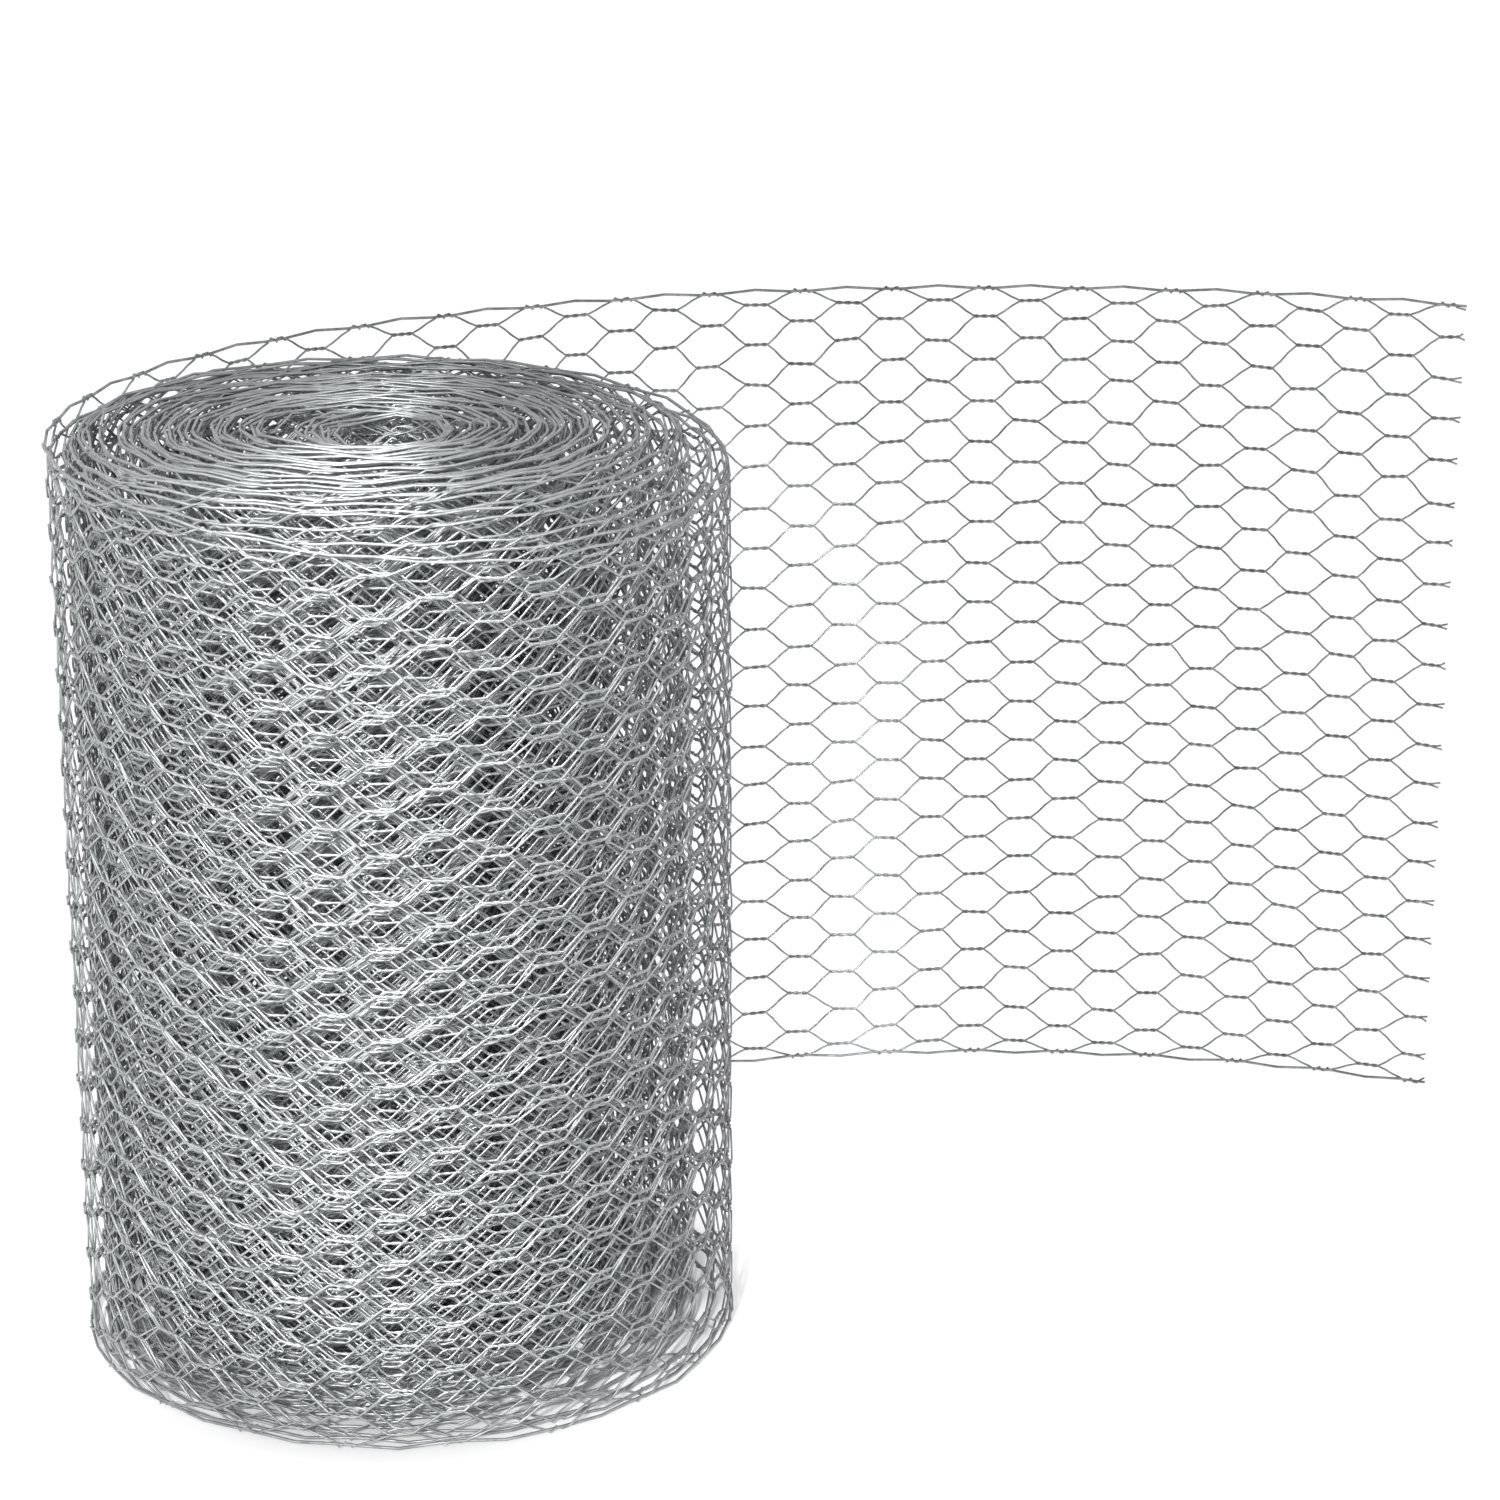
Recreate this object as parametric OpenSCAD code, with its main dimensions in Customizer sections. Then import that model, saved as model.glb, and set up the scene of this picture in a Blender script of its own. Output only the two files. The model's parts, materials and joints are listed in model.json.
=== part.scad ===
// Roll of hexagonal wire netting stood on end, with the free end of the netting drawn off behind it.
// The wound part is one turned solid with its bore, and its turns show on both ends.
// The free end is open netting in short lengths that follow one another edge to edge.
// Millimetres, the roll's axis on Z, the floor at Z = 0, the free end running towards +X.

/* [Netting] */
// Width of the netting, which is the height of the roll
width = 500; // [200:10:1200]
// Rows of meshes across the width
rows = 20; // [8:1:48]
// Height of the shallow row along each edge
edge_mesh = 21; // [8:0.5:40]
// Length of netting from one column of twists to the next
column = 27.8; // [18:0.1:60]
// Length of one twist
twist = 14; // [6:0.5:24]
// Diameter of the wire
wire = 1.2; // [0.6:0.05:1.6]

/* [Roll] */
// Diameter over the loose outer turns
roll_d = 354; // [330:2:600]
// Diameter of the tightly wound body
tight_d = 276; // [180:2:330]
// Diameter of the bore
bore_d = 56; // [30:2:120]
// Turns in the tightly wound body
tight_turns = 31; // [8:1:36]
// Loose turns round the body
loose_turns = 7; // [1:1:8]
// Depth of the spaces between the tight turns, seen from an end
tight_gap = 7; // [4:0.5:20]
// Depth of the spaces between the loose turns, seen from an end
loose_gap = 40; // [12:1:120]
// How far the loose turns stand below the tight ones at the top
loose_drop = 8; // [0:0.5:30]
// How unevenly the edges of the tight turns lie
ragged = 3; // [0:0.5:4]

/* [Free end] */
// Radius of the first bend, where the netting leaves the roll
first_radius = 290; // [220:5:600]
// Radius of the second bend, behind the roll
second_radius = 615; // [300:5:2000]
// Radius of the last stretch
third_radius = 745; // [300:5:3000]
// Columns of twists in each of the seven lengths
length_columns = 5; // [3:2:7]
// Cut ends of the wires past the last column
stub = 10; // [3:0.5:16]

/* [Hidden] */
$fn = 96;
pair = 2 * wire;
slack = 0.25 * wire;
mesh = (width - 2 * edge_mesh) / (rows - 2);
bore_r = bore_d / 2;
tight_r = tight_d / 2;
roll_r = roll_d / 2;
tight_pitch = (tight_r - bore_r) / tight_turns;
loose_pitch = (roll_r - tight_r) / loose_turns;
turns = tight_turns + loose_turns;
reach = column - twist / 2 - slack;
flat = twist / 2 - slack;
radii = [first_radius, first_radius, second_radius, second_radius, third_radius, third_radius, third_radius];
lengths = len(radii);

// Heights of the twists in the columns that reach the edges, and halfway between them.
function level(i) = i <= 0 ? 0 : i >= rows ? width : edge_mesh + (i - 1) * mesh;
function middle(i) = (level(i) + level(i + 1)) / 2;

// Inner radius of each turn, and the heights of its two edges.
function turn_r(i) = i < tight_turns
    ? bore_r + i * tight_pitch
    : tight_r + (i - tight_turns + 1) * loose_pitch - pair;
function lift(i) = i < tight_turns ? ragged * abs(sin(137 * i)) : 0;
function low_edge(i) = lift(i);
function high_edge(i) = width - (i < tight_turns ? lift(i + 3 * sign(i)) : loose_drop);
function gap(i) = i < tight_turns - 1 ? tight_gap : loose_gap;

// Angle each length turns through, the direction it starts in and the point it starts from.
function sweep(k) = length_columns * column / radii[k] * 180 / PI;
function heading(k) = k == 0 ? 90 : heading(k - 1) - sweep(k - 1);
function side(a) = [sin(a), -cos(a)];
function start(k) = k == 0
    ? [-roll_r - pair / 2, 0]
    : start(k - 1) + radii[k - 1] * (side(heading(k - 1)) - side(heading(k)));
function centre(k) = start(k) + radii[k] * side(heading(k));

// Half section of the wound roll: each turn is a narrow ridge on both ends.
module roll_section() {
    low = [for (i = [0 : turns - 1]) each [
        [turn_r(i), i == 0 ? low_edge(i) : gap(i - 1)],
        [turn_r(i), low_edge(i)],
        [turn_r(i) + pair, low_edge(i)],
        [turn_r(i) + pair, i == turns - 1 ? low_edge(i) : gap(i)]]];
    high = [for (i = [turns - 1 : -1 : 0]) each [
        [turn_r(i) + pair, i == turns - 1 ? high_edge(i) : width - gap(i)],
        [turn_r(i) + pair, high_edge(i)],
        [turn_r(i), high_edge(i)],
        [turn_r(i), i == 0 ? high_edge(i) : width - gap(i - 1)]]];
    polygon(concat(
        [for (i = [1 : len(low) - 2]) low[i]],
        [for (i = [1 : len(high) - 2]) high[i]]));
}

module roll() {
    color("silver") rotate_extrude() roll_section();
}

// Clear height between one twist and the next in the columns that reach the edges.
function clear_low(i) = i == 0 ? pair : level(i) + wire;
function clear_high(i) = i == rows - 1 ? width - pair : level(i + 1) - wire;

// One opening: flat along the twists above and below it, pointed towards the twists at its sides.
module opening(low, tip, high) {
    polygon([[-reach, tip], [-flat, low], [flat, low], [reach, tip], [flat, high], [-flat, high]]);
}

// One opening of the last column, which runs out between the cut ends.
module end_opening(low, tip, high) {
    polygon([[reach, tip], [flat, high], [-stub - 1, high], [-stub - 1, low], [flat, low]]);
}

// The wide openings left along the edge wires, low side and high side.
module edge_openings() {
    low_share = (middle(0) - wire - pair) / (middle(0) - wire);
    span = flat + (reach - flat) * low_share;
    polygon([[-span, pair], [span, pair], [flat, middle(0) - wire], [-flat, middle(0) - wire]]);
    polygon([[-flat, middle(rows - 1) + wire], [flat, middle(rows - 1) + wire],
        [span, width - pair], [-span, width - pair]]);
}

// The openings of one column, counted back from the cut end: every second column, the last one
// among them, has twists round the edge wires, and the others have a wide opening at each edge.
module column_openings(from_end) {
    if (from_end == 0) {
        for (i = [0 : rows - 1]) end_opening(clear_low(i), middle(i), clear_high(i));
    } else if (from_end % 2 == 0) {
        for (i = [0 : rows - 1]) opening(clear_low(i), middle(i), clear_high(i));
    } else {
        edge_openings();
        for (i = [0 : rows - 2]) opening(middle(i) + wire, level(i + 1), middle(i + 1) - wire);
    }
}

// Turns a flat shape so that its X runs along the netting and its Y up, and cuts through the band.
module through(r) {
    translate([r - 12, 0, 0]) rotate([90, 0, 90]) linear_extrude(20) children();
}

// The bare ends of the twists past the last column.
module end_plate(r) {
    translate([r - pair / 2, -stub, 0]) cube([pair, stub, width]);
}

// One length of the free end: a bent band with the openings of its columns cut through.
module free_length(k) {
    r = radii[k];
    step = sweep(k) / length_columns;
    last = k == lengths - 1;
    translate(concat(centre(k), [0])) rotate([0, 0, heading(k) + 90 - sweep(k)]) {
        difference() {
            union() {
                rotate_extrude(angle = sweep(k))
                    translate([r - pair / 2, 0]) square([pair, width]);
                if (last) end_plate(r);
            }
            for (j = [0 : length_columns])
                rotate([0, 0, sweep(k) - j * step])
                    through(r) column_openings((lengths - k) * length_columns - j);
        }
    }
}

module free_1() {
    color("silver") free_length(0);
}

module free_2() {
    color("silver") free_length(1);
}

module free_3() {
    color("silver") free_length(2);
}

module free_4() {
    color("silver") free_length(3);
}

module free_5() {
    color("silver") free_length(4);
}

module free_6() {
    color("silver") free_length(5);
}

module free_7() {
    color("silver") free_length(6);
}

roll();
free_1();
free_2();
free_3();
free_4();
free_5();
free_6();
free_7();
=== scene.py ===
"""Roll of hexagonal wire netting, stood on end with its free end drawn off behind it.

The netting is laid out flat, wire by wire, and then wound: every wire of every turn is a tube of its own.
"""

import json
import math

import bpy
import numpy as np
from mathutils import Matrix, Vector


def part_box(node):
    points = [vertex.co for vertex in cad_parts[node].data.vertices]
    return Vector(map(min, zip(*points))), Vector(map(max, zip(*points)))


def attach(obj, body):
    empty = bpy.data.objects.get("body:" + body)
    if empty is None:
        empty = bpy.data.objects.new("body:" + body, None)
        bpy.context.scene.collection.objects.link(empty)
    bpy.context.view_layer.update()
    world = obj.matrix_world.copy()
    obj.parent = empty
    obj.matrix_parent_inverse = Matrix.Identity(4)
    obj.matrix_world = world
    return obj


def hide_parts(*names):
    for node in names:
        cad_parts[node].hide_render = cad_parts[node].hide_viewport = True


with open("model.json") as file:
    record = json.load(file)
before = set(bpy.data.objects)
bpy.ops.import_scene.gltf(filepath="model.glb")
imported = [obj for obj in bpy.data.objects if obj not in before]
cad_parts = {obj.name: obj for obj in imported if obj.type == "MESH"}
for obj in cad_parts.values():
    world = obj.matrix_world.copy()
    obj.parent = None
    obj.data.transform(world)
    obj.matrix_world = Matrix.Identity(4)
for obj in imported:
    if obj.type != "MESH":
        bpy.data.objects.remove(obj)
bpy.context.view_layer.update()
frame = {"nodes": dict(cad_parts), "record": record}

bl_info = {
    "name": "Roll of Hexagonal Wire Netting",
    "version": (1, 0, 0),
    "blender": (4, 5, 0),
    "location": "3D View > Sidebar > Netting",
    "description": "Twists hexagonal netting from wire, winds it up and draws off its free end",
    "category": "Add Mesh",
}

MM = 0.001
ROLL_LOW, ROLL_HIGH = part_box("roll")
END_LOW, END_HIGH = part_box("free_7")
BORE = next(m for m in frame["record"]["mounts"] if m["name"] == "roll_bore")
FREE_NODES = sorted(n for n in frame["nodes"] if n.startswith("free_"))

# The pieces, which follow one another from the cut end inwards. The loose turns are parted at so many
# turns from the outside, and the tight ones at these shares of their number.
PIECES = (
    "free_netting",
    "loose_outer_turns", "loose_middle_turns", "loose_inner_turns",
    "tight_outer_turns", "tight_middle_turns", "tight_inner_turns",
)
LOOSE_PARTINGS = (2, 5)
TIGHT_PARTINGS = (0.78, 0.50)


class NettingSizes(bpy.types.PropertyGroup):
    """Sizes of the netting itself"""

    width: bpy.props.FloatProperty(
        name="Width", description="Width of the netting, edge to edge",
        default=END_HIGH.z - END_LOW.z, unit="LENGTH")
    rows: bpy.props.IntProperty(
        name="Rows", description="Rows of meshes across the width", default=20, min=4)
    edge_mesh: bpy.props.FloatProperty(
        name="Edge mesh", description="Height of the shallow row along each edge",
        default=21 * MM, unit="LENGTH")
    column: bpy.props.FloatProperty(
        name="Column", description="Length from one column of twists to the next",
        default=27.8 * MM, unit="LENGTH")
    twist: bpy.props.FloatProperty(
        name="Twist", description="Length of one twist", default=14 * MM, unit="LENGTH")
    wire: bpy.props.FloatProperty(
        name="Wire", description="Diameter of the netting wire", default=1.2 * MM, unit="LENGTH")
    edge_wire: bpy.props.FloatProperty(
        name="Edge wire", description="Diameter of the heavier wire along each edge",
        default=1.6 * MM, unit="LENGTH")
    edge_arch: bpy.props.FloatProperty(
        name="Edge arch", description="How far the twists draw the edge wire in",
        default=1.6 * MM, unit="LENGTH")
    slack: bpy.props.FloatProperty(
        name="Slack", description="How far a twist strays from its true place",
        default=0.7 * MM, unit="LENGTH")
    stub: bpy.props.FloatProperty(
        name="Stub", description="Length of the cut ends past the last column",
        default=10 * MM, unit="LENGTH")
    seed: bpy.props.IntProperty(name="Seed", description="Seed of the small irregularities", default=7)


class RollSizes(bpy.types.PropertyGroup):
    """Sizes of the wound roll and of the bends of the free end"""

    roll_d: bpy.props.FloatProperty(
        name="Roll diameter", description="Diameter over the loose outer turns",
        default=ROLL_HIGH.x - ROLL_LOW.x, unit="LENGTH")
    tight_d: bpy.props.FloatProperty(
        name="Tight diameter", description="Diameter of the tightly wound body",
        default=276 * MM, unit="LENGTH")
    bore_d: bpy.props.FloatProperty(
        name="Bore", description="Diameter of the open eye of the roll",
        default=2 * BORE["dims"]["r_mm"] * MM, unit="LENGTH")
    tight_turns: bpy.props.IntProperty(
        name="Tight turns", description="Turns in the tightly wound body", default=29, min=8)
    loose_turns: bpy.props.IntProperty(
        name="Loose turns", description="Loose turns round the body", default=9, min=4)
    eye_turns: bpy.props.IntProperty(
        name="Eye turns", description="Innermost turns, which stand apart from the rest", default=6, min=1)
    oval: bpy.props.FloatProperty(
        name="Oval", description="How far the turns next to the innermost ones bulge to the sides",
        default=6 * MM, unit="LENGTH")
    body_shift: bpy.props.FloatVectorProperty(
        name="Body shift", description="How far the tight body lies out of the middle of the loose turns",
        size=2, default=(-14 * MM, 14 * MM), unit="LENGTH")
    ragged: bpy.props.FloatProperty(
        name="Ragged edge", description="How unevenly the edges of the turns lie",
        default=3.5 * MM, unit="LENGTH")
    drop: bpy.props.FloatProperty(
        name="Drop", description="How far the outermost turn has slumped at the front",
        default=26 * MM, unit="LENGTH")
    nested_from: bpy.props.IntProperty(
        name="Nested from", description="Turn from which a turn's meshes lie on those of the turn below",
        default=12, min=0)
    nest_drift: bpy.props.FloatProperty(
        name="Nest drift", description="Share of a mesh by which a turn strays from the turn below",
        default=0.16)
    bends: bpy.props.FloatVectorProperty(
        name="Bends", description="Radii of the three bends of the free end",
        size=3, default=(290 * MM, 615 * MM, 745 * MM), unit="LENGTH")
    bend_columns: bpy.props.IntVectorProperty(
        name="Bend columns", description="Columns of twists in each of the three bends",
        size=3, default=(10, 10, 15))


class WireFinish(bpy.types.PropertyGroup):
    """Colours and gloss of the galvanised wire"""

    zinc: bpy.props.StringProperty(
        name="Zinc", description="Colour of the bright zinc, sRGB hex", default="#c8cacb")
    dull_zinc: bpy.props.StringProperty(
        name="Dull zinc", description="Colour of the dulled zinc, sRGB hex", default="#a0a3a5")
    metal: bpy.props.FloatProperty(
        name="Metal", description="Share of the surface that is bare metal and not a film of oxide",
        default=0.9, subtype="FACTOR")
    roughness: bpy.props.FloatProperty(
        name="Roughness", description="Roughness of the bright zinc", default=0.5, subtype="FACTOR")
    dulling: bpy.props.FloatProperty(
        name="Dulling", description="How much rougher the dulled zinc is", default=0.16, subtype="FACTOR")
    patch: bpy.props.FloatProperty(
        name="Patch", description="Size of the bright and dull patches", default=9 * MM, unit="LENGTH")
    run: bpy.props.FloatProperty(
        name="Run", description="Length of the small runs in the zinc", default=2.5 * MM, unit="LENGTH")
    run_height: bpy.props.FloatProperty(
        name="Run height", description="Height of the small runs in the zinc",
        default=0.1 * MM, unit="LENGTH")


class StageSetup(bpy.types.PropertyGroup):
    """Camera, light and floor"""

    eye: bpy.props.FloatVectorProperty(
        name="Camera", description="Place of the camera", size=3,
        default=(0.1156, -2.1264, 1.0166), subtype="TRANSLATION")
    tilt: bpy.props.FloatProperty(
        name="Tilt", description="How far the camera looks down",
        default=math.radians(18.1), subtype="ANGLE")
    swing: bpy.props.FloatProperty(
        name="Swing", description="How far the camera looks to the left",
        default=math.radians(-1.9), subtype="ANGLE")
    lens: bpy.props.FloatProperty(name="Lens", description="Focal length in millimetres", default=100.6)
    key: bpy.props.FloatProperty(
        name="Key", description="Power of the soft light in front of the roll", default=1.72, unit="POWER")
    key_place: bpy.props.FloatVectorProperty(
        name="Key place", description="Place of the soft light", size=3,
        default=(-0.24, -1.2, 0.85), subtype="TRANSLATION")
    key_aim: bpy.props.FloatVectorProperty(
        name="Key aim", description="Point that the soft light faces", size=3,
        default=(-0.01, 0, 0.24), subtype="TRANSLATION")
    key_size: bpy.props.FloatVectorProperty(
        name="Key size", description="Width and height of the soft light", size=2,
        default=(380 * MM, 535.8 * MM), unit="LENGTH")
    key_spread: bpy.props.FloatProperty(
        name="Key spread", description="How far the grid lets the soft light spread",
        default=math.radians(7), subtype="ANGLE")
    fill: bpy.props.FloatProperty(
        name="Fill", description="Strength of the even light from all round", default=0.5)
    floor: bpy.props.StringProperty(
        name="Floor", description="Colour of the floor, sRGB hex", default="#f4f4f4")
    floor_size: bpy.props.FloatProperty(
        name="Floor size", description="Side of the square floor", default=60, unit="LENGTH")
    floor_glow: bpy.props.FloatProperty(
        name="Floor glow", description="Brightness that the floor shows by itself", default=1.22)
    glow_share: bpy.props.FloatProperty(
        name="Glow share", description="Share of the floor's look that its own brightness makes up",
        default=0.8, subtype="FACTOR")
    # Painted shade on the floor under the roll: no glow within the first radius, full glow from the second.
    painted_shade_inner_radius: bpy.props.FloatProperty(
        name="Dark radius", description="Radius under the roll within which the floor has no glow",
        default=150 * MM, unit="LENGTH")
    painted_shade_outer_radius: bpy.props.FloatProperty(
        name="White radius", description="Radius from which the floor has its full glow",
        default=200 * MM, unit="LENGTH")


def linear(hex_colour):
    """Linear RGBA of an sRGB hex colour."""
    channels = [int(hex_colour[i:i + 2], 16) / 255 for i in (1, 3, 5)]
    return [c / 12.92 if c <= 0.04045 else ((c + 0.055) / 1.055) ** 2.4 for c in channels] + [1.0]


def smoothstep(x, low, high):
    """0 up to low, 1 from high, smooth between."""
    t = np.clip((x - low) / (high - low), 0, 1)
    return t * t * (3 - 2 * t)


def wander(rng, x, shortest, longest, waves=14):
    """A smooth random line of about unit height along x, from waves between two lengths."""
    lengths = np.exp(rng.uniform(math.log(shortest), math.log(longest), waves))
    phases = rng.uniform(0, 2 * math.pi, waves)
    total = sum(np.sin(2 * math.pi * x / length + phase) for length, phase in zip(lengths, phases))
    return total / math.sqrt(waves / 2)


class Plan:
    """Where the netting runs in plan and where its edges lie, by distance back from the last column."""

    # Points along the spiral, and along the free end and a little past it.
    SAMPLES_PER_TURN = 240
    SMOOTHED_SAMPLES = SAMPLES_PER_TURN // 5
    FREE_STEP = 2 * MM
    STEPS_PAST_END = 15

    # Steps in radius, in shares of the room there is: turns lie close in bundles of a few, apart between
    # bundles and furthest apart round the eye, and the loose turns open out more evenly. The stray of a step
    # is in turns.
    CLOSE_STEP = (0.45, 0.7)
    BUNDLE_TURNS = (3, 6)
    BUNDLE_STEP = (1.8, 2.8)
    EYE_STEP = 3.2
    LOOSE_STEP = 1.15
    INNER_LOOSE_STEP = 0.9
    LAST_LOOSE_STEP = 0.95
    STEP_STRAY = 0.35

    # How far the turns are out of round: all alike, in waves round the roll, and each by itself, in waves
    # of these lengths along the netting. The eye is squashed by a share of what the turns next to it bulge.
    ROUND_WAVES = (2, 3, 4, 5)
    ROUND_STRAY_MM = (0.3, 0.9)
    RADIUS_WAVES = (60 * MM, 400 * MM)
    TIGHT_STRAY = 0.35 * MM
    LOOSE_STRAY = 1.3 * MM
    EYE_SQUASH = 0.4

    # How the edges of the turns lie: uneven in waves along the netting and in waves of so many turns, half
    # as much at the foot, and slumped towards the front, the more the further out.
    EDGE_WAVES = (200 * MM, 1200 * MM)
    TURN_WAVES = (2, 7)
    WAVE_SHARES = (0.45, 0.55)
    LOW_SHARE = 0.5
    FRONT = math.radians(290)
    SLUMP_POWER = 2.2

    # Turns over which one part of the spiral gives way to the next, and waves of a nested turn's drift.
    LAST_STRETCH = 0.35
    EYE_BLEND = (-0.3, 0.7)
    BULGE_START = 2
    LOOSE_BLEND = (-1, 1)
    SHIFT_GROWTH = 10
    SHIFT_FADE = (1.5, -0.5)
    EDGE_FADE = 2
    NEST_GROWTH = 2
    NEST_FADE = (-1.2, -0.2)
    DRIFT_WAVES = (2, 6)

    def __init__(self, net, roll):
        rng = np.random.default_rng(net.seed)
        self.width = net.width
        self.turns = roll.tight_turns + roll.loose_turns
        turn = np.linspace(0, self.turns, self.turns * self.SAMPLES_PER_TURN + 1)
        angle = math.pi + 2 * math.pi * (self.turns - turn)
        run = turn * math.pi * roll.tight_d
        in_roll = 1 - smoothstep(turn, self.turns - self.LAST_STRETCH, self.turns)
        wound = self.turn_radius(rng, net, roll, turn)
        x, y = self.spiral(rng, roll, turn, angle, run, wound, in_roll)
        opened = np.clip((wound - roll.tight_d / 2) / (roll.roll_d - roll.tight_d) * 2, 0, 1)
        slump = opened ** self.SLUMP_POWER * in_roll * (0.5 + 0.5 * np.cos(angle - self.FRONT))
        high, low = self.edges(rng, net, roll, turn, slump, run)
        free_x, free_y = self.free_end(net, roll, x[-1], y[-1])
        self.x = np.concatenate([x, free_x])
        self.y = np.concatenate([y, free_y])
        self.high = np.concatenate([high, np.full(len(free_x), net.width)])
        self.low = np.concatenate([low, np.zeros(len(free_x))])
        self.measure(*self.nesting(rng, net, roll, turn, wound))

    def turn_radius(self, rng, net, roll, turn):
        """Radius along the spiral: the turns lie in uneven bundles, and the loose ones open out."""
        inner = roll.bore_d / 2 + net.wire
        tight = roll.tight_d / 2
        outer = roll.roll_d / 2 + net.wire
        steps = rng.uniform(*self.CLOSE_STEP, roll.tight_turns)
        bundles = roll.eye_turns + np.cumsum(rng.integers(*self.BUNDLE_TURNS, roll.tight_turns))
        bundles = bundles[bundles < roll.tight_turns]
        steps[bundles] = rng.uniform(*self.BUNDLE_STEP, len(bundles))
        steps[roll.eye_turns] = self.EYE_STEP
        steps *= (tight - inner) / steps.sum()
        loose = np.full(roll.loose_turns, self.LOOSE_STEP)
        loose[1:3] = self.INNER_LOOSE_STEP
        loose[-1] = self.LAST_LOOSE_STEP
        loose *= (outer - tight) / loose.sum()
        radii = inner + np.concatenate([[0], np.cumsum(np.concatenate([steps, loose]))])
        knots = np.arange(len(radii)) + rng.uniform(-self.STEP_STRAY, self.STEP_STRAY, len(radii))
        knots[[0, -1]] = 0, len(radii) - 1
        radius = np.interp(turn, knots, radii)
        half = self.SMOOTHED_SAMPLES
        padded = np.pad(radius, half, mode="reflect", reflect_type="odd")
        return np.convolve(padded, np.ones(2 * half + 1) / (2 * half + 1), mode="valid")

    def spiral(self, rng, roll, turn, angle, run, wound, in_roll):
        """The wound part in plan: out of round, oval next to the eye, its tight body out of the middle."""
        radius = wound + self.out_of_round(rng, angle) * in_roll
        eye_start, eye_end = (roll.eye_turns + part for part in self.EYE_BLEND)
        past_eye = smoothstep(turn, eye_start, eye_end)
        bulge = past_eye * (1 - smoothstep(turn, roll.eye_turns + self.BULGE_START, roll.tight_turns))
        radius += roll.oval * (bulge - self.EYE_SQUASH * (1 - past_eye)) * np.cos(2 * angle)
        loose_start, loose_end = (roll.tight_turns + part for part in self.LOOSE_BLEND)
        stray = self.TIGHT_STRAY + self.LOOSE_STRAY * smoothstep(turn, loose_start, loose_end)
        radius += wander(rng, run, *self.RADIUS_WAVES) * stray * in_roll
        fade_start, fade_end = roll.tight_turns + self.SHIFT_FADE[0], self.turns + self.SHIFT_FADE[1]
        shift = smoothstep(turn, 0, self.SHIFT_GROWTH) * (1 - smoothstep(turn, fade_start, fade_end))
        x = radius * np.cos(angle) + shift * roll.body_shift[0]
        y = radius * np.sin(angle) + shift * roll.body_shift[1]
        return x, y

    def out_of_round(self, rng, angle):
        """The roll is a little out of round, all its turns alike."""
        return sum(
            rng.uniform(*self.ROUND_STRAY_MM) * MM * np.cos(k * angle + rng.uniform(0, 2 * math.pi))
            for k in self.ROUND_WAVES)

    def edges(self, rng, net, roll, turn, slump, run):
        """Heights of both edges: uneven in the body, slumped at the front of the loose turns."""
        body = 1 - smoothstep(turn, self.turns - self.EDGE_FADE, self.turns)
        along = wander(rng, run, *self.EDGE_WAVES)
        across = wander(rng, turn, *self.TURN_WAVES)
        waves = self.WAVE_SHARES[0] * along + self.WAVE_SHARES[1] * across
        uneven = 0.5 + 0.5 * np.clip(waves, -1, 1)
        high = net.width - body * roll.ragged * uneven - roll.drop * slump
        low = body * roll.ragged * self.LOW_SHARE * (1 - uneven)
        return high, low

    def free_end(self, net, roll, x, y):
        """The three bends of the free end, from where it leaves the roll, and a little straight after."""
        heading = math.pi / 2
        xs, ys = [], []
        for bend, columns in zip(roll.bends, roll.bend_columns):
            count = int(round(columns * net.column / self.FREE_STEP))
            step = columns * net.column / count
            for _ in range(count):
                heading -= step / bend / 2
                x += step * math.cos(heading)
                y += step * math.sin(heading)
                heading -= step / bend / 2
                xs.append(x)
                ys.append(y)
        past = np.arange(1, self.STEPS_PAST_END + 1) * self.FREE_STEP
        xs = np.concatenate([xs, x + past * math.cos(heading)])
        ys = np.concatenate([ys, y + past * math.sin(heading)])
        return xs, ys

    def nesting(self, rng, net, roll, turn, wound):
        """Length of netting in each step along the spiral where turns nest, and how far they do.

        A nested turn takes about a whole number of meshes, so that they lie on those of the turn below.
        """
        period = 2 * net.column
        drift = roll.nest_drift * wander(rng, turn, *self.DRIFT_WAVES)
        meshes = np.round(2 * math.pi * wound / period) + drift
        nested = smoothstep(turn, roll.nested_from, roll.nested_from + self.NEST_GROWTH)
        nested *= 1 - smoothstep(turn, *(self.turns + part for part in self.NEST_FADE))
        return meshes * period / self.SAMPLES_PER_TURN, nested

    def measure(self, whole, nested):
        """Distances along the netting, counted back from the last column, and the outward direction."""
        steps = np.hypot(np.diff(self.x), np.diff(self.y))
        run = np.concatenate([[0], np.cumsum(steps)])
        wound = len(whole) - 1
        steps[:wound] += nested[:-1] * (whole[:-1] - steps[:wound])
        laid = np.concatenate([[0], np.cumsum(steps)])
        tx, ty = np.gradient(self.x, run), np.gradient(self.y, run)
        size = np.hypot(tx, ty)
        back = laid[-1] - self.STEPS_PAST_END * self.FREE_STEP - laid
        order = slice(None, None, -1)
        self.back = back[order]
        self.nx, self.ny = (-ty / size)[order], (tx / size)[order]
        self.x, self.y = self.x[order], self.y[order]
        self.high, self.low = self.high[order], self.low[order]
        self.length = self.back[-1]

    def column_at(self, net, turn):
        """The even column nearest to a place on the spiral, which is given in turns from its start."""
        index = len(self.back) - 1 - int(turn * self.SAMPLES_PER_TURN)
        return int(round(self.back[index] / net.column / 2)) * 2

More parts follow.
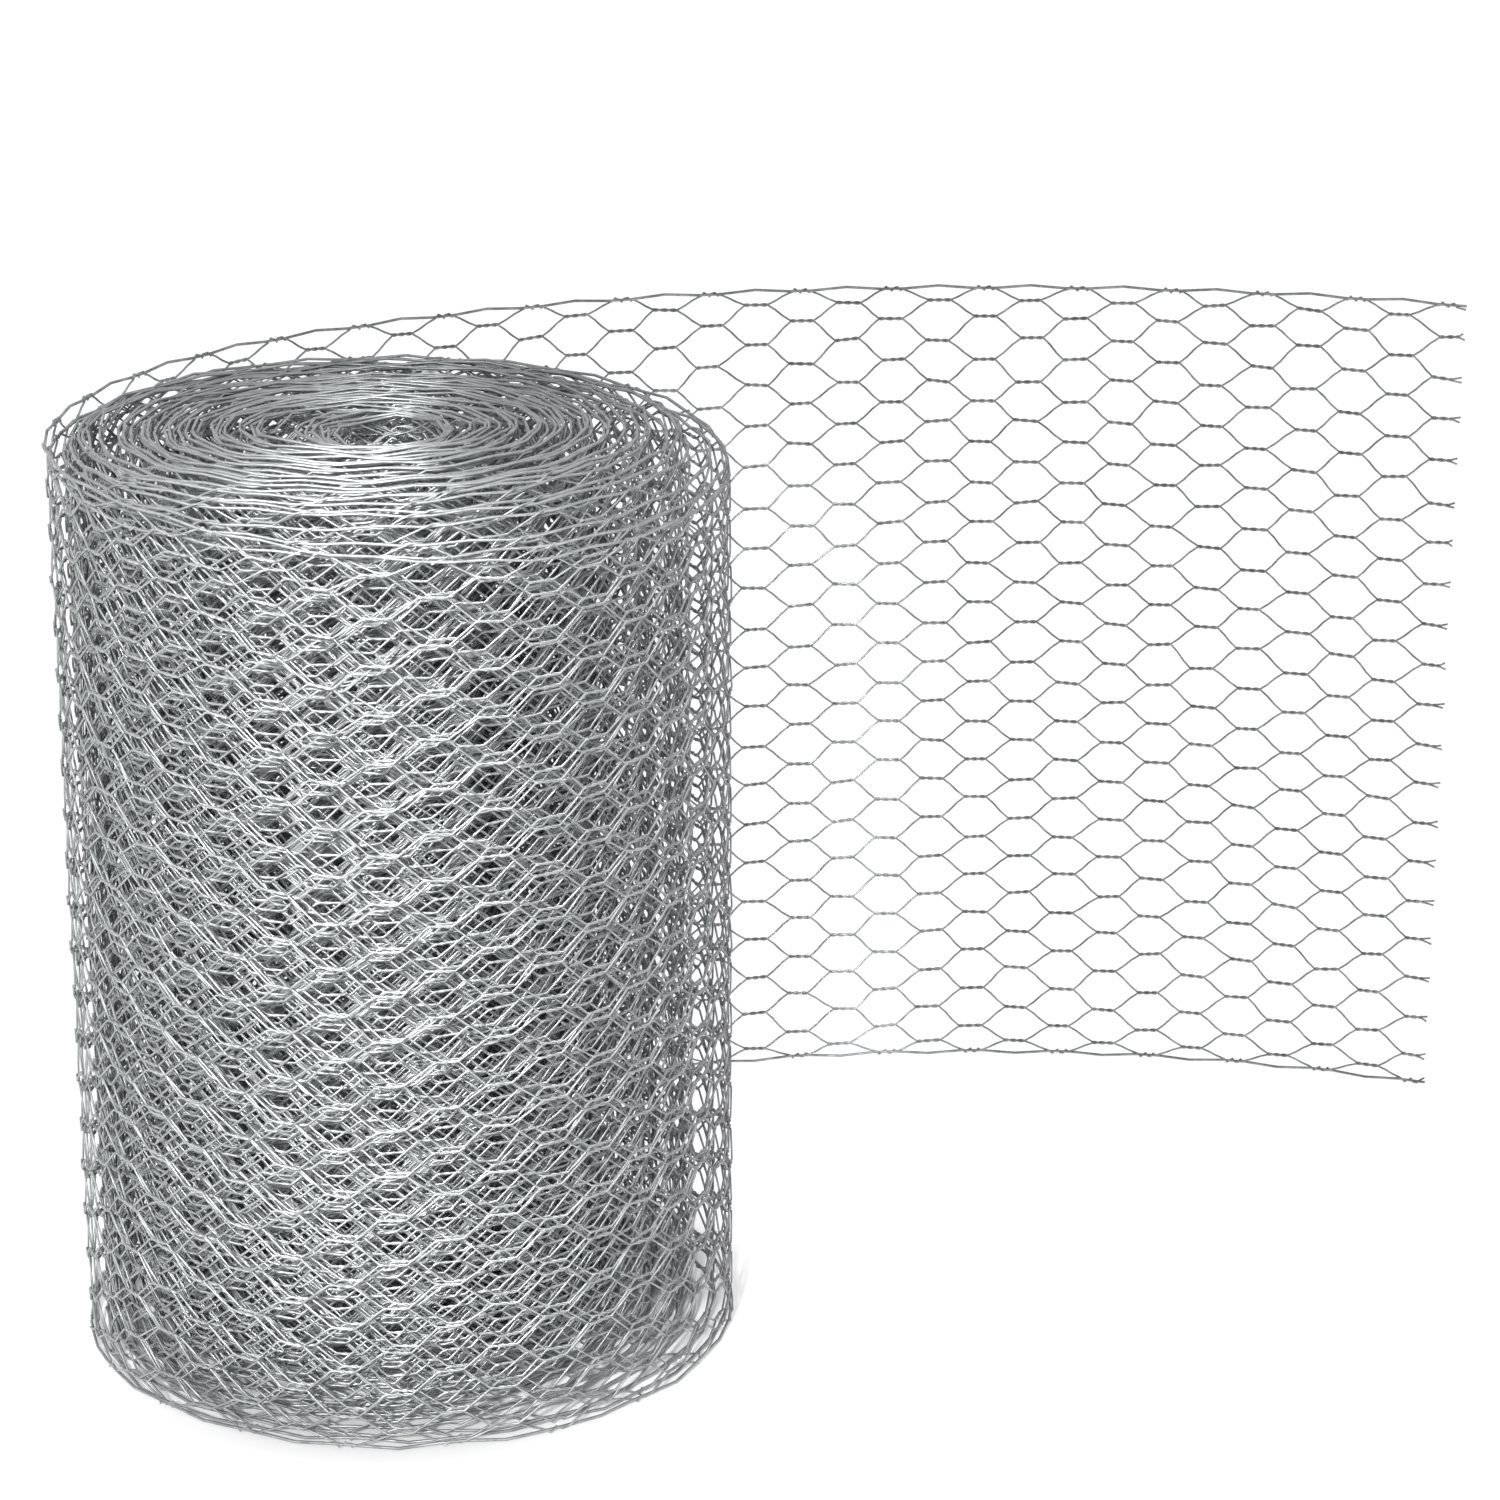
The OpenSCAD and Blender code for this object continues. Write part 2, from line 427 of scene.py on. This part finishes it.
    def place(self, flat):
        """Winds points of the flat netting: distance back from the last column, height, and outwards."""
        back, height, out = flat[..., 0], flat[..., 1], flat[..., 2]
        x, y, nx, ny, low, high = (
            np.interp(back, self.back, line)
            for line in (self.x, self.y, self.nx, self.ny, self.low, self.high))
        return np.stack([x + out * nx, y + out * ny, low + height / self.width * (high - low)], axis=-1)


class FlatNetting:
    """The netting laid out flat: each wire is twisted in turn with its upper and its lower neighbour."""

    # Where round its twist a wire comes in, and how far it goes round in a twist and round an edge wire.
    START_ANGLE = math.radians(-60)
    TWIST_ANGLE = math.radians(480)
    WRAP_ANGLE = math.radians(840)

    # Irregularities of the twists: shares of the slack along and across the netting, how far a twist
    # stands out of the sheet, its length and its lean.
    STRAY_SHARES = (1.0, 0.7)
    BULGE = 0.25 * MM
    TWIST_RANGE = (0.9, 1.1)
    LEAN = math.radians(2.5)

    # How strongly a wire bends where it leaves a twist, and how the cut ends fork.
    LINK_BEND = 0.22
    FORK_MM = (0.3, 1.5)
    FORK_OUT = 0.6
    STUB_RANGE = (0.85, 1.0)

    def __init__(self, net, columns):
        self.net = net
        self.wires = 2 * net.rows
        rng = np.random.default_rng(net.seed + 1)
        mesh = (net.width - 2 * net.edge_mesh) / (net.rows - 2)
        level = np.concatenate([
            [0], net.edge_mesh + mesh * np.arange(net.rows - 1), [net.width]])
        self.low_inset = net.edge_wire / 2 + net.wire
        self.high_inset = net.edge_wire / 2
        self.middle = (level[:-1] + level[1:]) / 2
        level[0] = self.low_inset + net.edge_arch
        level[-1] = net.width - self.high_inset - net.edge_arch
        self.level = level
        shape = (columns, net.rows + 1)
        self.stray = rng.normal(0, net.slack, shape + (2,)) * self.STRAY_SHARES
        self.bulge = rng.normal(0, self.BULGE, shape)
        self.half = net.twist / 2 * rng.uniform(*self.TWIST_RANGE, shape)
        self.lean = rng.normal(0, self.LEAN, shape)
        self.stray[:, 0, 1] = 0
        self.stray[0::2, -1, 1] = 0

    def block(self, column, twist_rings):
        """Middle lines of all wires through one column's twists, without the links."""
        net = self.net
        wire = np.arange(self.wires)
        to_edge = column % 2 == 0
        twist = (wire + 1) // 2 if to_edge else wire // 2
        upper = wire % 2 == (0 if to_edge else 1)
        height = (self.level if to_edge else self.middle)[twist]
        bottom = to_edge & (wire == 0)
        top = to_edge & (wire == self.wires - 1)
        edge = bottom | top
        side = np.where(upper | bottom, 1.0, -1.0)
        side = np.where(top, -1.0, side)
        reach = np.where(edge, (net.wire + net.edge_wire) / 2, net.wire / 2)
        turned = np.where(edge, self.WRAP_ANGLE, self.TWIST_ANGLE)
        part = np.linspace(0, 1, twist_rings)[None, :]
        phase = self.START_ANGLE + turned[:, None] * part
        along = (2 * part - 1) * self.half[column, twist][:, None]
        back = column * net.column + self.stray[column, twist, 0][:, None] + along
        rise = height + self.stray[column, twist, 1]
        rise = rise[:, None] + along * np.tan(np.where(edge, 0, self.lean[column, twist]))[:, None]
        rise = rise + (side * reach)[:, None] * np.cos(phase)
        out = self.bulge[column, twist][:, None] + (side * reach)[:, None] * np.sin(phase)
        return np.stack([back, rise, out], axis=-1)

    def wire_lines(self, first, last, twist_rings, link_rings):
        """Middle lines of all wires from one column to the start of another."""
        parts = []
        share = (np.arange(link_rings) + 1) / (link_rings + 1)
        bent = share - self.LINK_BEND * np.sin(2 * math.pi * share) / (2 * math.pi)
        mix = np.stack([share, bent, share], axis=-1)[None]
        here = self.block(first, twist_rings)
        for column in range(first, last):
            there = self.block(column + 1, twist_rings)
            parts.append(here)
            if link_rings:
                start, end = here[:, -1:, :], there[:, :1, :]
                parts.append(start + (end - start) * mix)
            here = there
        parts.append(here[:, :1, :])
        return np.concatenate(parts, axis=1)

    def cut_ends(self, lines):
        """The last column's twists come undone at their ends, which fork where they were cut."""
        net = self.net
        rng = np.random.default_rng(net.seed + 2)
        lines = lines[:, 1:, :]
        spread = rng.uniform(*self.FORK_MM, (self.wires, 2)) * MM
        side = np.where(np.arange(self.wires) % 2 == 0, 1.0, -1.0)
        tips = lines[:, 0, :].copy()
        tips[:, 0] = -net.stub * rng.uniform(*self.STUB_RANGE, self.wires)
        tips[:, 1] = np.clip(tips[:, 1] + side * spread[:, 0], net.wire, net.width - net.wire)
        tips[:, 2] += side * spread[:, 1] * self.FORK_OUT
        return np.concatenate([tips[:, None, :], lines], axis=1)

    def edge_lines(self, first, last, cut):
        """Middle lines of the two edge wires: drawn in at each twist and arched between."""
        net = self.net
        back, rise = [], []
        if cut:
            back.append(-net.stub)
            rise.append(net.edge_arch)
        for column in range(first, last + 1):
            at = column * net.column
            if column % 2 == 0:
                span = [-net.twist / 2] if column == last else [-net.twist / 2, net.twist / 2]
                back += [at + s for s in span]
                rise += [net.edge_arch] * len(span)
            else:
                back.append(at)
                rise.append(0.0)
        back, rise = np.array(back), np.array(rise)
        flat = np.zeros(len(back))
        return np.stack([
            np.stack([back, self.low_inset + rise, flat], axis=-1),
            np.stack([back, net.width - self.high_inset - rise, flat], axis=-1)])


def tube_rings(lines, radius, sides):
    """Rings of points round each middle line, as wide on average as the round wire they stand for."""
    radius = radius * math.pi / (sides * math.sin(math.pi / sides))
    legs = np.diff(lines, axis=1)
    legs /= np.linalg.norm(legs, axis=-1, keepdims=True)
    run = np.concatenate([legs[:, :1], legs[:, :-1] + legs[:, 1:], legs[:, -1:]], axis=1)
    run /= np.linalg.norm(run, axis=-1, keepdims=True)
    up = np.zeros_like(run)
    up[..., 2] = 1.0
    across = up - run * run[..., 2:3]
    across /= np.linalg.norm(across, axis=-1, keepdims=True)
    third = np.cross(run, across)
    turn = (np.arange(sides) + 0.5) * 2 * math.pi / sides
    cos, sin = np.cos(turn)[:, None], np.sin(turn)[:, None]
    return lines[:, :, None, :] + radius * (across[:, :, None, :] * cos + third[:, :, None, :] * sin)


def tube_faces(wires, rings, sides, first_point):
    """Side quads and the two end faces of each tube, as corner lists and corner counts."""
    index = first_point + np.arange(wires * rings * sides).reshape(wires, rings, sides)
    here, there = index[:, :-1, :], index[:, 1:, :]
    quads = np.stack([here, np.roll(here, -1, axis=2), np.roll(there, -1, axis=2), there], axis=-1)
    starts = index[:, 0, ::-1]
    ends = index[:, -1, :]
    corners = np.concatenate([quads.ravel(), starts.ravel(), ends.ravel()])
    counts = np.concatenate([np.full(quads.size // 4, 4), np.full(2 * wires, sides)])
    return corners, counts


def mesh_piece(name, plan, groups, material, nodes):
    """One piece from groups of tubes, wound along the plan, that rides on the part and stands for nodes."""
    points, corners, counts = [], [], []
    total = 0
    for lines, radius, sides in groups:
        rings = tube_rings(lines, radius, sides)
        group_corners, group_counts = tube_faces(rings.shape[0], rings.shape[1], sides, total)
        points.append(plan.place(rings).reshape(-1, 3))
        corners.append(group_corners)
        counts.append(group_counts)
        total += len(points[-1])
    points, corners, counts = (np.concatenate(part) for part in (points, corners, counts))
    starts = np.concatenate([[0], np.cumsum(counts)[:-1]])
    mesh = bpy.data.meshes.new(name)
    mesh.vertices.add(len(points))
    mesh.vertices.foreach_set("co", points.astype(np.float32).ravel())
    mesh.loops.add(len(corners))
    mesh.loops.foreach_set("vertex_index", corners.astype(np.int32))
    mesh.polygons.add(len(counts))
    mesh.polygons.foreach_set("loop_start", starts.astype(np.int32))
    mesh.polygons.foreach_set("use_smooth", np.ones(len(counts), bool))
    mesh.update(calc_edges=True)
    if mesh.validate():
        raise RuntimeError(f"{name}: the wires' faces don't make a sound mesh")
    piece = bpy.data.objects.new(name, mesh)
    bpy.context.scene.collection.objects.link(piece)
    mesh.materials.append(material)
    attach(piece, "root")
    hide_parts(*nodes)


def node(tree, kind, settings=None, links=None):
    """Adds a node, sets its attributes or input defaults, and links its inputs to other nodes' outputs."""
    made = tree.nodes.new(kind)
    for key, value in (settings or {}).items():
        if key in made.inputs:
            made.inputs[key].default_value = value
        else:
            setattr(made, key, value)
    for key, socket in (links or {}).items():
        tree.links.new(socket, made.inputs[key])
    return made


def empty_material(name):
    """A material with a bare node tree, and that tree."""
    material = bpy.data.materials.new(name)
    material.use_nodes = True
    material.node_tree.nodes.clear()
    return material, material.node_tree


def galvanised_wire(finish):
    """Hot-dip galvanised steel wire: drawn steel that went through molten zinc after it was twisted."""
    name = "hot_dip_galvanised_steel_wire"
    if name in bpy.data.materials:
        return bpy.data.materials[name]
    # To the eye it is a cool, pale grey metal with a broad soft sheen along each wire. Parts have dulled to
    # a darker, rougher grey, and small runs in the zinc break the sheen up.
    material, tree = empty_material(name)
    place = node(tree, "ShaderNodeTexCoord").outputs["Object"]
    patches = node(tree, "ShaderNodeTexNoise",
                   {"Scale": 1 / finish.patch, "Detail": 3.0, "Roughness": 0.6},
                   {"Vector": place})
    # The noise keeps to its middle range, which is stretched so that bright and dull are told apart.
    dulled = node(tree, "ShaderNodeMapRange", {"From Min": 0.35, "From Max": 0.65},
                  {"Value": patches.outputs["Fac"]})
    colour = node(tree, "ShaderNodeMix", {"data_type": "RGBA"}, {"Factor": dulled.outputs["Result"]})
    # A colour mix has its two colours in inputs 6 and 7, and gives the mixed one as output 2.
    colour.inputs[6].default_value = linear(finish.zinc)
    colour.inputs[7].default_value = linear(finish.dull_zinc)
    rough = node(tree, "ShaderNodeMapRange",
                 {"To Min": finish.roughness, "To Max": finish.roughness + finish.dulling},
                 {"Value": dulled.outputs["Result"]})
    # Real runs are finer than the wire is thick. These are drawn about twice as long so that they show.
    runs = node(tree, "ShaderNodeTexNoise", {"Scale": 1 / finish.run, "Detail": 2.0}, {"Vector": place})
    relief = node(tree, "ShaderNodeBump", {"Strength": 0.1, "Distance": finish.run_height},
                  {"Height": runs.outputs["Fac"]})
    steel = node(tree, "ShaderNodeBsdfPrincipled", {"Metallic": finish.metal},
                 {"Base Color": colour.outputs[2], "Roughness": rough.outputs["Result"],
                  "Normal": relief.outputs["Normal"]})
    node(tree, "ShaderNodeOutputMaterial", {}, {"Surface": steel.outputs["BSDF"]})
    return material


def pale_floor(stage):
    """Matt white studio paper, rolled out flat."""
    # To the eye it is plain white without grain or sheen, also in reflections, and it takes soft shadows.
    material, tree = empty_material("matt_white_paper")
    place = node(tree, "ShaderNodeTexCoord").outputs["Object"]
    away = node(tree, "ShaderNodeVectorMath", {"operation": "LENGTH"}, {0: place})
    # Painted shade: under the roll the paper has no glow of its own, so that the roll stays dark inside, and
    # the glow fades back in round the roll's foot.
    glow_share_less_painted_shade = node(tree, "ShaderNodeMapRange",
                      {"From Min": stage.painted_shade_inner_radius, "From Max": stage.painted_shade_outer_radius,
                       "To Max": stage.glow_share},
                      {"Value": away.outputs["Value"]})
    ray = node(tree, "ShaderNodeLightPath").outputs
    seen = node(tree, "ShaderNodeMath", {"operation": "MAXIMUM"},
                {0: ray["Is Camera Ray"], 1: ray["Is Glossy Ray"]})
    seen_through = node(tree, "ShaderNodeMath", {"operation": "MAXIMUM"},
                        {0: seen.outputs[0], 1: ray["Is Transmission Ray"]})
    share = node(tree, "ShaderNodeMath", {"operation": "MULTIPLY"},
                 {0: seen_through.outputs[0], 1: glow_share_less_painted_shade.outputs["Result"]})
    paper = node(tree, "ShaderNodeBsdfDiffuse", {"Color": linear(stage.floor)})
    glow = node(tree, "ShaderNodeEmission", {"Color": (1, 1, 1, 1), "Strength": stage.floor_glow})
    both = node(tree, "ShaderNodeMixShader", {},
                {"Fac": share.outputs[0], 1: paper.outputs[0], 2: glow.outputs[0]})
    node(tree, "ShaderNodeOutputMaterial", {}, {"Surface": both.outputs[0]})
    return material


def columns_of(name, net, roll, plan):
    """First and last column of a piece, counted from the cut end."""
    partings = [plan.turns - turns for turns in LOOSE_PARTINGS]
    partings.append(roll.tight_turns)
    partings += [share * roll.tight_turns for share in TIGHT_PARTINGS]
    innermost = int(plan.length / net.column) - 1
    columns = [0, sum(roll.bend_columns), *(plan.column_at(net, turn) for turn in partings), innermost]
    index = PIECES.index(name)
    return columns[index], columns[index + 1]


def wind(context, name, detail, nodes):
    """Makes one piece of the netting; detail is rings in a twist, rings in a link, and sides of a wire."""
    net, roll = context.scene.netting_sizes, context.scene.roll_sizes
    plan = Plan(net, roll)
    flat = FlatNetting(net, int(plan.length / net.column) + 2)
    first, last = columns_of(name, net, roll, plan)
    twist_rings, link_rings, sides = detail
    lines = flat.wire_lines(first, last, twist_rings, link_rings)
    cut = first == 0
    if cut:
        lines = flat.cut_ends(lines)
    edges = flat.edge_lines(first, last, cut)
    groups = [(lines, net.wire / 2, sides), (edges, net.edge_wire / 2, max(sides, 4))]
    mesh_piece(name, plan, groups, galvanised_wire(context.scene.wire_finish), nodes)


class NETTING_OT_free_end(bpy.types.Operator):
    """Twists the free end of the netting, with its cut wires"""
    bl_idname = "netting.free_end"
    bl_label = "Free End"

    def execute(self, context):
        wind(context, "free_netting", (9, 2, 5), FREE_NODES)
        return {"FINISHED"}


class NETTING_OT_loose_turns(bpy.types.Operator):
    """Winds the loose outer turns"""
    bl_idname = "netting.loose_turns"
    bl_label = "Loose Turns"

    def execute(self, context):
        wind(context, "loose_outer_turns", (5, 1, 4), ["roll"])
        wind(context, "loose_middle_turns", (4, 1, 3), ["roll"])
        wind(context, "loose_inner_turns", (4, 1, 3), ["roll"])
        return {"FINISHED"}


class NETTING_OT_tight_turns(bpy.types.Operator):
    """Winds the tight body round its bore"""
    bl_idname = "netting.tight_turns"
    bl_label = "Tight Turns"

    def execute(self, context):
        for name in ("tight_outer_turns", "tight_middle_turns", "tight_inner_turns"):
            wind(context, name, (3, 0, 3), ["roll"])
        return {"FINISHED"}


class NETTING_OT_stage(bpy.types.Operator):
    """Sets up the floor, the light and the camera"""
    bl_idname = "netting.stage"
    bl_label = "Stage"

    def execute(self, context):
        stage = context.scene.stage_setup
        bpy.ops.mesh.primitive_plane_add(size=stage.floor_size, location=(0, 0, 0))
        floor = context.object
        floor.name = "floor"
        floor.data.materials.append(pale_floor(stage))
        self.fill_light(context, stage)
        self.key_light(context, stage)
        self.camera(context, stage)
        context.scene.view_settings.view_transform = "Standard"
        return {"FINISHED"}

    @staticmethod
    def fill_light(context, stage):
        """An even pale fill from all round."""
        world = bpy.data.worlds.new("studio")
        world.use_nodes = True
        tree = world.node_tree
        tree.nodes.clear()
        sky = node(tree, "ShaderNodeBackground", {"Color": (1, 1, 1, 1), "Strength": stage.fill})
        node(tree, "ShaderNodeOutputWorld", {}, {"Surface": sky.outputs[0]})
        context.scene.world = world

    @staticmethod
    def key_light(context, stage):
        """A tall soft light with a grid, which faces the roll and spares the free end and the floor."""
        lamp = bpy.data.lights.new("soft_key", "AREA")
        lamp.energy = stage.key
        lamp.shape = "RECTANGLE"
        lamp.size, lamp.size_y = stage.key_size
        lamp.spread = stage.key_spread
        holder = bpy.data.objects.new("soft_key", lamp)
        holder.visible_camera = False
        holder.location = stage.key_place
        aim = Vector(stage.key_aim) - holder.location
        holder.rotation_euler = aim.to_track_quat("-Z", "Y").to_euler()
        context.scene.collection.objects.link(holder)

    @staticmethod
    def camera(context, stage):
        """The camera on the photo's side, tilted so that the roll's foot is in the frame."""
        camera = bpy.data.cameras.new("camera")
        camera.lens = stage.lens
        holder = bpy.data.objects.new("camera", camera)
        holder.location = stage.eye
        holder.rotation_euler = (math.pi / 2 - stage.tilt, 0, stage.swing)
        context.scene.collection.objects.link(holder)
        context.scene.camera = holder


class NETTING_PT_panel(bpy.types.Panel):
    """The netting's sizes, finish and stage"""
    bl_idname = "NETTING_PT_panel"
    bl_label = "Wire Netting Roll"
    bl_space_type = "VIEW_3D"
    bl_region_type = "UI"
    bl_category = "Netting"

    def draw(self, context):
        for name in SETTINGS:
            box = self.layout.box()
            group = getattr(context.scene, name)
            for prop in group.bl_rna.properties:
                if not prop.is_readonly and prop.identifier != "name":
                    box.prop(group, prop.identifier)
        for operator in OPERATORS:
            self.layout.operator(operator.bl_idname)


SETTINGS = {
    "netting_sizes": NettingSizes,
    "roll_sizes": RollSizes,
    "wire_finish": WireFinish,
    "stage_setup": StageSetup,
}
OPERATORS = (NETTING_OT_free_end, NETTING_OT_loose_turns, NETTING_OT_tight_turns, NETTING_OT_stage)


def register():
    for name, group in SETTINGS.items():
        bpy.utils.register_class(group)
        setattr(bpy.types.Scene, name, bpy.props.PointerProperty(type=group))
    for cls in (*OPERATORS, NETTING_PT_panel):
        bpy.utils.register_class(cls)


def unregister():
    for cls in (NETTING_PT_panel, *reversed(OPERATORS)):
        bpy.utils.unregister_class(cls)
    for name, group in reversed(SETTINGS.items()):
        delattr(bpy.types.Scene, name)
        bpy.utils.unregister_class(group)


def main():
    register()
    bpy.ops.netting.free_end()
    bpy.ops.netting.loose_turns()
    bpy.ops.netting.tight_turns()
    bpy.ops.netting.stage()


if __name__ == "__main__":
    main()
